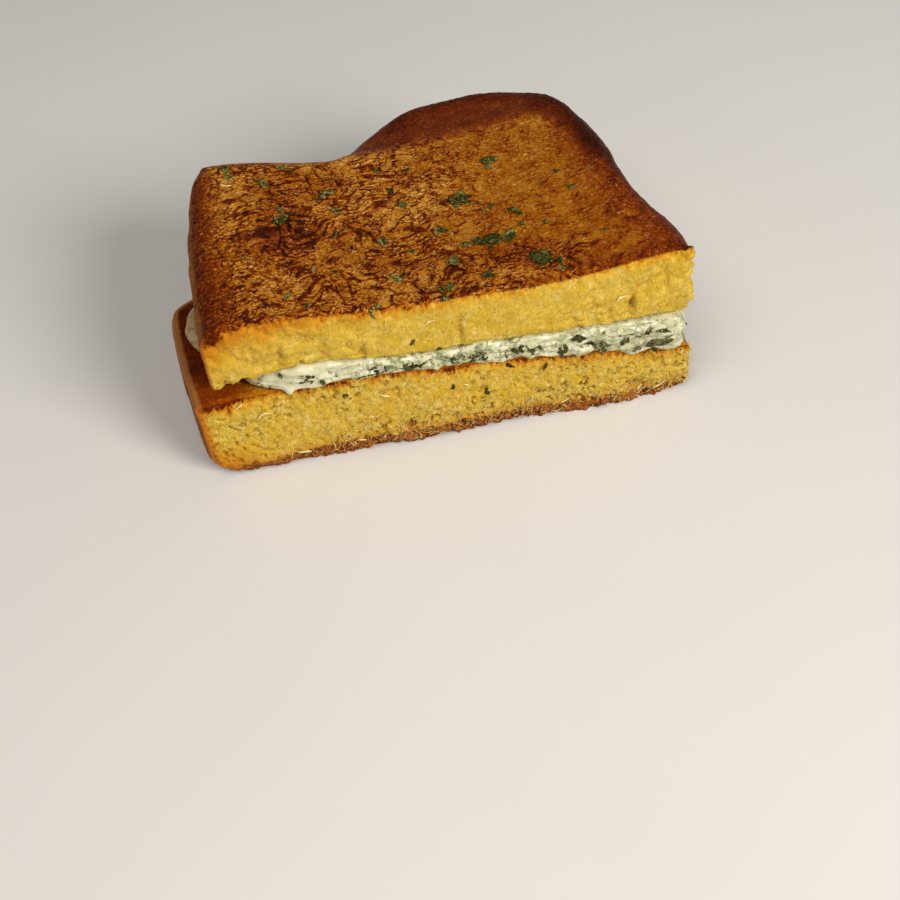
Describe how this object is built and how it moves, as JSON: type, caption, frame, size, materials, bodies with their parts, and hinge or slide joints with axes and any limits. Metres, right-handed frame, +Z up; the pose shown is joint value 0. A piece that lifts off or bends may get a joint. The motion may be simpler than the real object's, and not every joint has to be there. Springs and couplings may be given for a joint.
{
  "type": "garlic toast",
  "caption": "Garlic toast sandwich half: thick fried bread slices with a straight cut face and a domed crust, herb and garlic cream between them, parsley flakes on top.",
  "frame": {"origin": "middle of the underside of the whole, on the surface that it lies on", "axes": "+X to the right along the cut face, +Y from the cut face to the crust at the back, +Z up"},
  "size_m": [0.1334, 0.0886, 0.0525],
  "materials": {
    "top_toast": "fried bread: glossy brown crust on top, soft yellow crumb on the cut face, green herb flakes",
    "garlic_cream": "soft pale cream with chopped green herbs",
    "bottom_toast": "yellow porous crumb on the cut face, brown toasted underside and crust"
  },
  "bodies": {
    "root": {"top_toast": "top_toast", "garlic_cream": "garlic_cream", "bottom_toast": "bottom_toast"}
  },
  "joints": []
}
